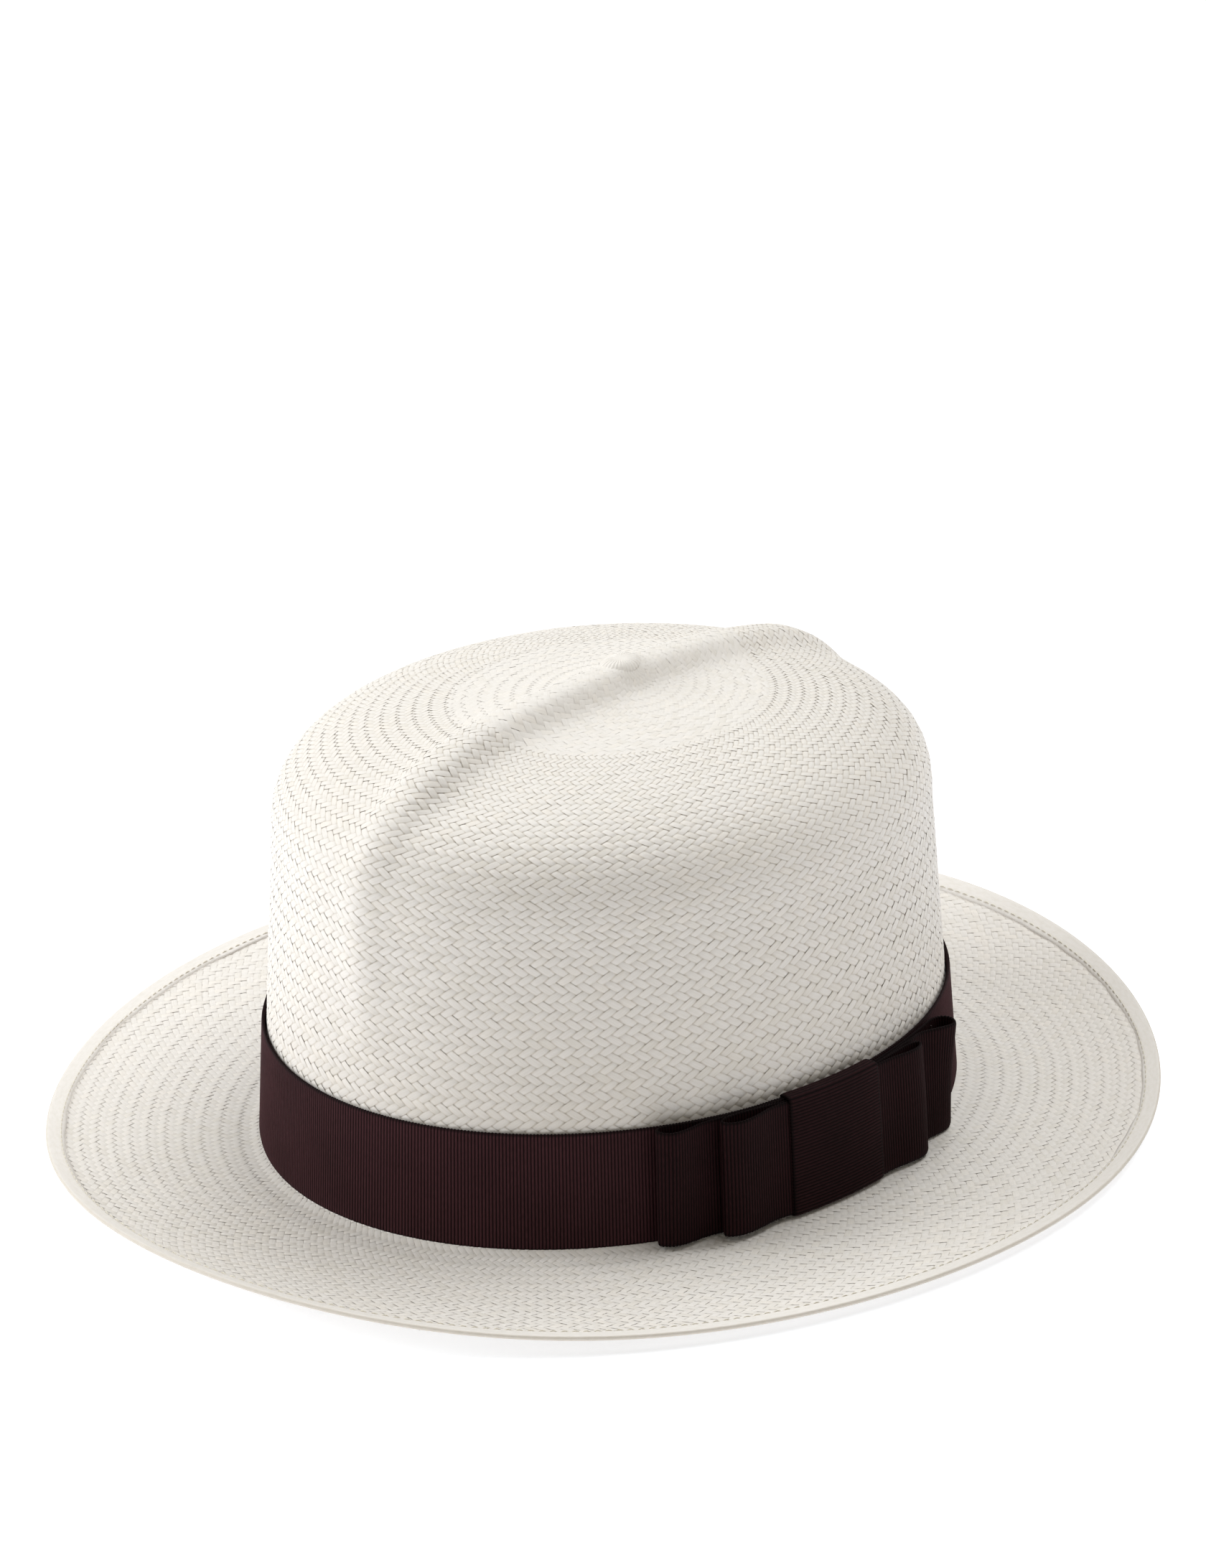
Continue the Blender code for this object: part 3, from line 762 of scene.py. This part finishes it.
def loop_corners(pinch, reach, opening, side):
    """Half of a bow loop in plan, from its pinched front round the tight fold to its pinched back.

    Each corner is a length along the band and a rise off the loop's back.
    """
    free = reach - pinch
    half = [
        (0.5 * pinch, LAYER),
        (pinch, LAYER),
        (pinch + 0.25 * free, LAYER + 0.15 * opening),
        (pinch + 0.52 * free, LAYER + 0.65 * opening),
        (pinch + 0.78 * free, LAYER + 1.00 * opening),
        (reach - 0.05 * free, LAYER + 0.85 * opening),
        (reach + 0.05 * free, LAYER + 0.45 * opening),
        (reach - 0.02 * free, 0.20 * opening),
        (pinch + 0.75 * free, 0.0),
        (pinch + 0.50 * free, 0.0),
        (pinch, 0.0),
        (0.5 * pinch, 0.0),
    ]
    return [(side * length, rise) for length, rise in half]


def make_loops(name, stands_for, place, pinch, right, left, material):
    """Ring of ribbon with a loop to each side of its knot, and the flat size of that ribbon.

    The place is the ring's middle angle, the distance out of its back, the side it stands on (1 away from
    the head), its lower edge and its width. Right and left each give a loop's reach, its opening at the top
    and its opening at the bottom.
    """
    middle, back, away, bottom, width = place
    runs = [
        loop_corners(pinch * RADIUS_AT_BOW, reach * RADIUS_AT_BOW, top, side)
        for side, (reach, top, _) in ((1, right), (-1, left))
    ]
    run = resampled(smoothed(runs[0] + runs[1][::-1], rounds=4))
    length = run[None, :, 0]
    rise = run[None, :, 1]
    widths = ribbon_levels(width, 8)
    share = (widths / width)[:, None]
    closing = np.where(length > 0, 1 - right[2] / right[1], 1 - left[2] / left[1]) * (1 - share)
    proud = np.maximum(0.0, rise - LAYER)
    ripple = LOOP_RIPPLE * proud * np.sin(5 * share + length / (6 * MM))
    wave = LOOP_WAVE * width * np.sin(length / (8 * MM) + back / MM)
    droop = away * BOW_DROOP * np.maximum(0.0, length)
    height = bottom + widths[:, None] + wave - droop
    out = back + away * (rise - proud * closing + ripple)
    points = wall_point(middle + length / RADIUS_AT_BOW + 0 * height, height, out)
    piece = make_ribbon(name, points, widths, material, [stands_for])
    return piece, (width, len(run) * RIB_STEP)


def make_wrap(name, stands_for, place, outs, heights, inner_levels, material):
    """Ribbon wrapped round a bow from top to bottom, and the flat size of that ribbon.

    The place is its middle angle and half of the angle that it covers.
    """
    middle, half_angle = place
    low_out, high_out = min(outs), max(outs)
    low, high = heights
    corner = 0.6 * LAYER
    corners = [
        (low_out, low + corner),
        (low_out, high - corner),
        (low_out + corner, high),
        (high_out - corner, high),
        (high_out, high - 2 * corner),
        (high_out, low + 2 * corner),
        (high_out - corner, low),
        (low_out + corner, low),
    ]
    run = resampled(smoothed(corners, rounds=3))
    widths = ribbon_levels(2 * half_angle * RADIUS_AT_BOW, inner_levels)
    angle = middle - half_angle + widths[:, None] / RADIUS_AT_BOW
    points = wall_point(angle + 0 * run[None, :, 1], run[None, :, 1], run[None, :, 0])
    piece = make_ribbon(name, points, widths, material, [stands_for])
    return piece, (widths[-1], len(run) * RIB_STEP)


def make_bow(material):
    """Two rings of ribbon, one over the other, and the knot round their middle."""
    long_place = (BOW_ANGLE, LONG_LOOP_OUT, 1, LOOP_BOTTOM, BAND_WIDTH)
    short_place = (BOW_ANGLE, SHORT_LOOP_OUT, 1, LOOP_BOTTOM, BAND_WIDTH)
    long_loops = make_loops(
        "bow_long", "bow_long_loops", long_place, LONG_LOOP_PINCH, LONG_LOOP_RIGHT, LONG_LOOP_LEFT,
        material,
    )
    short_loops = make_loops(
        "bow_short", "bow_short_loops", short_place, SHORT_LOOP_PINCH, SHORT_LOOP_RIGHT, SHORT_LOOP_LEFT,
        material,
    )
    place = (BOW_ANGLE, KNOT_HALF_ANGLE)
    outs = (KNOT_BACK_OUT, KNOT_FRONT_OUT)
    heights = (LOOP_BOTTOM - 0.4 * LAYER, LOOP_BOTTOM + BAND_WIDTH + LAYER)
    knot = make_wrap("bow_centre", "bow_knot", place, outs, heights, 8, material)


def make_small_bow(material):
    """Narrow bow inside the back, on the seam of the leather."""
    bottom = small_bow_low.z
    place = (math.pi, SMALL_LOOP_OUT, -1, bottom, SMALL_RIBBON_WIDTH)
    pinch = 1.2 * SMALL_KNOT_HALF_ANGLE
    loop = (SMALL_LOOP_REACH, SMALL_LOOP_OPENING, 0.6 * SMALL_LOOP_OPENING)
    make_loops("small_bow", "sweatband_bow", place, pinch, loop, loop, material)
    place = (math.pi, SMALL_KNOT_HALF_ANGLE)
    outs = (SMALL_KNOT_BACK_OUT, SMALL_KNOT_FRONT_OUT)
    heights = (bottom - LAYER, bottom + SMALL_RIBBON_WIDTH + LAYER)
    make_wrap("small_bow_centre", "sweatband_bow_knot", place, outs, heights, 4, material)


# Thread and leather.

def make_stitches(name, starts, ends, up, radius, material, stands_for):
    """Row of short stitches, each a bent round thread whose ends dive into the cloth."""
    share = np.linspace(0.0, 1.0, 5)[None, :, None]
    line = starts[:, None] + (ends - starts)[:, None] * share
    line = line + up[:, None] * (STITCH_ARCH * (np.sin(math.pi * share) - 0.5))
    along = unit(ends - starts)[:, None, None]
    side = unit(np.cross(along, up[:, None, None]))
    turn = np.linspace(0.0, FULL_TURN, 6, endpoint=False)[None, None, :, None]
    ring = side * np.cos(turn) + up[:, None, None] * np.sin(turn)
    thick = radius * (0.6 + 0.4 * np.sin(math.pi * share))[..., None]
    points = line[:, :, None] + ring * thick
    faces = repeated_faces(*points.shape[:3], closed_columns=True)
    return make_piece(name, points, faces, material, stands_for, {})


def make_hem_stitches(material):
    """Thread that holds the hem down, on its top."""
    step = FULL_TURN / HEM_STITCHES
    stitch = 0.72 * step
    angle = np.arange(HEM_STITCHES) * step
    up = stacked(0.0, 0.0, np.ones(HEM_STITCHES))
    lift = up * (HEM_THICKNESS + HEM_CLEARANCE)

    def on_hem(turn):
        return brim_point(turn, brim_width(turn) - HEM_STITCH_INSET) + lift

    make_stitches(
        "hem_stitches", on_hem(angle), on_hem(angle + stitch), up, HEM_THREAD_RADIUS,
        material, ["hem_stitching"],
    )


def make_sweatband(leather, thread):
    """Leather strip that sits a little loose at its top, and the row of stitches that holds it."""
    widths = np.linspace(0.0, leather_high.z - leather_low.z, 12)
    angle = np.linspace(0.0, FULL_TURN, 720, endpoint=False)[None, :]
    slack = LEATHER_SLACK * np.sin(5 * angle) * (widths / widths[-1])[:, None] ** 2
    points = wall_point(angle + 0 * slack, leather_low.z + widths[:, None], SWEATBAND_OUT - abs(slack))
    make_ribbon(
        "leather_band", points, widths, leather, ["sweatband"],
        rise=0.0, thickness=LEATHER,
    )
    stitch_low, stitch_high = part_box("sweatband_stitching")
    height = (stitch_low.z + stitch_high.z) / 2
    step = FULL_TURN / LEATHER_STITCHES
    stitch = 0.7 * step
    turn = np.arange(LEATHER_STITCHES) * step
    starts = wall_point(turn, height, THREAD_OUT)
    ends = wall_point(turn + stitch, height, THREAD_OUT)
    make_stitches(
        "leather_stitches", starts, ends, -outward(turn), THREAD_RADIUS,
        thread, ["sweatband_stitching"],
    )


def finish_carried_node(node, material):
    """Give a CAD node whose shape is right its own material."""
    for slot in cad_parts[node].material_slots:
        slot.material = material


# Stage.

def direction(azimuth, elevation):
    """Unit vector towards an azimuth from the front, turning to the bow's side, and an elevation."""
    level = math.cos(elevation)
    return Vector((math.sin(azimuth) * level, -math.cos(azimuth) * level, math.sin(elevation)))


def make_camera():
    """The camera of the photograph, which looks a little above and beside the point that it turns about."""
    back = direction(CAMERA_AZIMUTH, CAMERA_ELEVATION)
    right = Vector((math.cos(CAMERA_AZIMUTH), math.sin(CAMERA_AZIMUTH), 0.0))
    up = back.cross(right)
    data = bpy.data.cameras.new("camera")
    data.lens = CAMERA_LENS
    camera = bpy.data.objects.new("camera", data)
    camera.location = AIM + back * CAMERA_DISTANCE
    look_at = AIM + up * LOOK_ABOVE_AIM - right * LOOK_LEFT_OF_AIM
    camera.rotation_euler = (look_at - camera.location).to_track_quat("-Z", "Y").to_euler()
    bpy.context.scene.collection.objects.link(camera)
    bpy.context.scene.camera = camera


def make_floor():
    """Plain pale floor on which the hat lies."""
    mesh = bpy.data.meshes.new("floor")
    signs = ((-1, -1), (1, -1), (1, 1), (-1, 1))
    corners = [(x * FLOOR_HALF_WIDTH, y * FLOOR_HALF_WIDTH, 0) for x, y in signs]
    mesh.from_pydata(corners, [], [(0, 1, 2, 3)])
    mesh.materials.append(floor_material())
    floor = bpy.data.objects.new("floor", mesh)
    bpy.context.scene.collection.objects.link(floor)


def make_light(name, azimuth, elevation, distance, size, power):
    """Square soft light at an azimuth and elevation in degrees, turned to the hat."""
    back = direction(math.radians(azimuth), math.radians(elevation))
    data = bpy.data.lights.new(name, "AREA")
    data.size = size
    data.energy = power
    data.color = LIGHT_COLOUR
    light = bpy.data.objects.new(name, data)
    light.location = AIM + back * distance
    light.rotation_euler = (-back).to_track_quat("-Z", "Y").to_euler()
    bpy.context.scene.collection.objects.link(light)


def make_lights():
    """A dim warm surrounding, a large light over the back and a smaller one from the side without the bow."""
    world = bpy.data.worlds.new("studio")
    world.use_nodes = True
    background = world.node_tree.nodes["Background"]
    background.inputs["Color"].default_value = SURROUNDING_COLOUR
    background.inputs["Strength"].default_value = SURROUNDING_STRENGTH
    bpy.context.scene.world = world
    make_light("overhead", azimuth=180.0, elevation=66.0, distance=1.8, size=1.6, power=25.0)
    make_light("side", azimuth=-49.0, elevation=29.0, distance=1.6, size=1.0, power=16.7)
    bpy.context.scene.view_settings.view_transform = "Standard"


make_camera()
make_floor()
make_lights()

straw = straw_material("bleached_straw")
band_grosgrain = grosgrain_material("grosgrain", (0.037, 0.014, 0.016), (0.070, 0.026, 0.031))
# The bow's ribbon is the band's grosgrain made much darker: painted shade, as the bow sits on the side away
# from the side light.
bow_grosgrain = grosgrain_material("bow_grosgrain", (0.012, 0.0035, 0.004), (0.032, 0.010, 0.012))
cream_thread = thread_material("cream_thread", (0.72, 0.67, 0.56), (0.86, 0.82, 0.72))
tan_thread = thread_material("tan_thread", (0.42, 0.27, 0.15), (0.58, 0.42, 0.26))
dark_thread = thread_material("dark_thread", (0.02, 0.012, 0.012), (0.05, 0.03, 0.03))
tan_leather = leather_material("tan_leather", (0.30, 0.15, 0.075), (0.44, 0.25, 0.13))
reed_tape = leather_material("reed_tape", (0.24, 0.13, 0.07), (0.36, 0.21, 0.12))

make_crown(straw)
make_button(straw)
make_brim(straw)
make_hem(straw)
make_hem_stitches(cream_thread)
make_hatband(band_grosgrain)
make_bow(bow_grosgrain)
make_sweatband(tan_leather, tan_thread)
make_small_bow(band_grosgrain)
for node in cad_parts:
    if node.startswith("bow_tack"):
        finish_carried_node(node, dark_thread)
finish_carried_node("sweatband_reed", reed_tape)
finish_carried_node("sweatband_seam", tan_thread)
